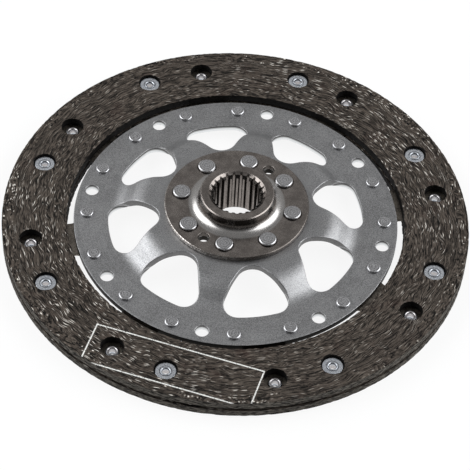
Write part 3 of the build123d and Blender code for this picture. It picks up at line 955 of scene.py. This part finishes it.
def hubMesh():
    # Rows of (radius, height) run from the boss's foot over its top, down the splined bore and up the tail.
    # Where the spline decides, a row has its own radius or height in each column.
    h = hub
    top, base = h["top"], h["base"]
    flangeTop = h["flangeBottom"] + h["flangeThickness"]
    edge, small = h["edgeChamfer"], h["turnedRound"]
    angle, bore = splineColumns()
    outside = roundedPath([
        (h["flange"], flangeTop), (h["boss"], flangeTop), (h["boss"], top - edge), (h["boss"] - edge, top),
        (h["leadRadius"], top), (h["leadRadius"] - h["leadChamfer"], top - h["leadChamfer"]),
    ], [h["bossFillet"], small, small, h["leadRound"]], 10)[1:-1]
    below = roundedPath([
        (h["major"] + h["exitLip"], base), (h["tail"] - edge, base), (h["tail"], base + edge),
        (h["tail"], h["flangeBottom"]), (h["flange"], h["flangeBottom"]),
    ], [small, small, h["tailFillet"]], 5)[:-1]
    # Lead-in: 45 degrees down to the teeth, whose ends fall towards their tips. Exit: one cone.
    endRadius = h["leadRadius"] - h["endDepth"]
    shoulder = np.maximum(bore, endRadius)
    fall = h["endDepth"] + (endRadius - np.minimum(bore, endRadius)) / (endRadius - h["minor"]) * h["endFall"]
    fall = np.minimum(fall, h["leadRadius"] - shoulder + (fall - h["endDepth"]))
    rise = (h["major"] - bore) / (h["major"] - h["minor"]) * h["exitDepth"]
    soft, run, lip = h["endSoft"], h["endRun"], h["shoulderSoft"]
    highest = top - h["endDepth"] - h["endFall"] - h["clearance"]
    lowest = base + h["exitDepth"] + h["clearance"]
    rows = [tuple(place) for place in outside]
    rows += [(shoulder + lip, top - (h["leadRadius"] - shoulder) + lip)]
    rows += [(bore + soft, top - fall - soft), (bore, top - fall - run)]
    rows += [(bore, level) for level in np.linspace(highest, lowest, h["levels"])]
    rows += [(bore, base + rise + run), (bore + soft, base + rise + soft), (h["major"] + lip, base)]
    rows += [tuple(place) for place in below]
    radius, height = (np.array([np.broadcast_to(row[part], angle.shape) for row in rows]) for part in (0, 1))
    # The bore is walked like the edge of a hole, so its columns run the other way round.
    core = np.stack([radius * np.cos(-angle), radius * np.sin(-angle), height], -1)
    chamfer = h["flangeChamfer"]
    rim = roundedPath([
        (h["flange"] - 2, flangeTop), (h["flange"] - chamfer, flangeTop), (h["flange"], flangeTop - chamfer),
        (h["flange"], h["flangeBottom"] + chamfer), (h["flange"] - chamfer, h["flangeBottom"]),
        (h["flange"] - 2, h["flangeBottom"]),
    ], [h["rimRound"]] * 4, 3)[1:-1]
    hole = wallProfile(carrier["flangeHole"], 1, flangeTop, h["flangeBottom"], h["holeRounds"], 4)
    centres = [atAngle(carrier["hubCircle"], turn) for turn in carrier["flangeHoleAngles"]]
    edges = [turnedEdge(rim, 360), core] + [turnedEdge(hole, 40, centre, True) for centre in centres]
    return plateMesh(edges, flat(flangeTop), flat(h["flangeBottom"]))


addPiece("hubTurned", [(*hubMesh(), (0, 0))], hubMaterial(), ["hub"])
print("hub made")


# Floor, world and lamps. The floor and the world look white to the camera and in the metal.
studio = {
    "floorSize": 6.0, "floorGap": 0.0002, "floorShadow": 0.12, "white": (1.0, 1.0, 1.0, 1.0),
    # The world is brightest behind the disc, at this azimuth and elevation, and darker above.
    "behind": (100, 50), "behindSpan": (-0.15, 0.35), "front": 0.05, "back": 0.42,
    "ceiling": 0.45, "ceilingSpan": (0.7, 0.95),
    "lamps": {  # azimuth and elevation in degrees, distance and size in metres, radiance, colour
        "leftBox": (-178, 36, 1.3, (1.45, 1.0), 3.2, (0.97, 0.985, 1.0)),
        "rightBox": (12, 35, 1.3, (1.5, 1.0), 3.2, (0.97, 0.985, 1.0)),
    },
}


def rayMask(s, *names):  # 1 for the kinds of ray that are named
    path = s.node("LightPath", {}, {})
    first, *others = [Wire(s, path.outputs[name]) for name in names]
    return sum(others, first).clamp()


def towards(azimuth, elevation):  # (cos e cos a, cos e sin a, sin e), from angles in degrees
    a, e = np.radians(azimuth), np.radians(elevation)
    return Vector((np.cos(e) * np.cos(a), np.cos(e) * np.sin(a), np.sin(e)))


def makeFloor():
    half, level = studio["floorSize"] / 2, -studio["floorGap"]
    mesh = bpy.data.meshes.new("studioFloor")
    corners = [(-half, -half, level), (half, -half, level), (half, half, level), (-half, half, level)]
    mesh.from_pydata(corners, [], [(0, 1, 2, 3)])
    floor = linked("studioFloor", mesh)
    s = newFinish("paleFloor")
    seen = rayMask(s, "Is Camera Ray", "Is Glossy Ray", "Is Transmission Ray") * (1 - studio["floorShadow"])
    plain = s.wire("BsdfDiffuse", {}, {"Color": studio["white"]}, "BSDF")
    white = s.wire("Emission", {}, {"Color": studio["white"], "Strength": 1.0}, "Emission")
    mixed = s.wire("MixShader", {}, {0: seen, 1: plain, 2: white}, "Shader")
    # The floor is clear from underneath, to show the back of the disc.
    beneath = s.wire("NewGeometry", {}, {}, "Backfacing")
    clear = s.wire("BsdfTransparent", {}, {}, "BSDF")
    shown = s.wire("MixShader", {}, {0: beneath, 1: mixed, 2: clear}, "Shader")
    s.node("OutputMaterial", {}, {"Surface": shown})
    mesh.materials.append(s.owner)


def makeWorld():
    s = Shader(bpy.data.worlds.new("studioWorld"))
    direction = s.wire("TexCoord", {}, {}, "Generated")
    sides = {0: direction, 1: towards(*studio["behind"])}
    toBack = s.wire("VectorMath", {"operation": "DOT_PRODUCT"}, sides, "Value")
    ceiling = s.split(direction)[2].step(*studio["ceilingSpan"]) * studio["ceiling"]
    share = toBack.step(*studio["behindSpan"]) * (1 - ceiling)
    level = share * (studio["back"] - studio["front"]) + studio["front"]
    strength = level.atLeast(rayMask(s, "Is Camera Ray"))
    light = s.wire("Background", {}, {"Color": studio["white"], "Strength": strength}, "Background")
    s.node("OutputWorld", {}, {"Surface": light})
    bpy.context.scene.world = s.owner


def makeLamps():
    for name, (azimuth, elevation, away, size, radiance, colour) in studio["lamps"].items():
        light = bpy.data.lights.new(name, "AREA")
        light.shape = "RECTANGLE"
        light.size, light.size_y = size
        light.color = colour
        light.energy = radiance * np.pi * size[0] * size[1]
        side = towards(azimuth, elevation)
        facingDisc = side.to_track_quat("Z", "Y").to_matrix().to_4x4()
        linked(name, light).matrix_world = Matrix.Translation(side * away) @ facingDisc


view = {  # in metres, with unit vectors to its right and up
    "place": (0.11730, -0.66179, 0.76503), "right": (0.97515, 0.21810, 0.03876),
    "up": (-0.18941, 0.73025, 0.65640), "lens": 158.49, "sensor": 36, "shift": (0.0007, 0.0), "nearest": 0.05,
}


def makeCamera():
    camera = bpy.data.cameras.new("studioCamera")
    camera.lens, camera.sensor_width = view["lens"], view["sensor"]
    camera.shift_x, camera.shift_y = view["shift"]
    camera.clip_start = view["nearest"]
    holder = linked("studioCamera", camera)
    right, up = Vector(view["right"]).normalized(), Vector(view["up"]).normalized()
    turn = Matrix((right, up, right.cross(up))).transposed().to_4x4()
    holder.matrix_world = Matrix.Translation(Vector(view["place"])) @ turn
    bpy.context.scene.camera = holder


makeFloor()
makeWorld()
makeLamps()
makeCamera()
bpy.context.scene.view_settings.view_transform = "Standard"
print("studio made")
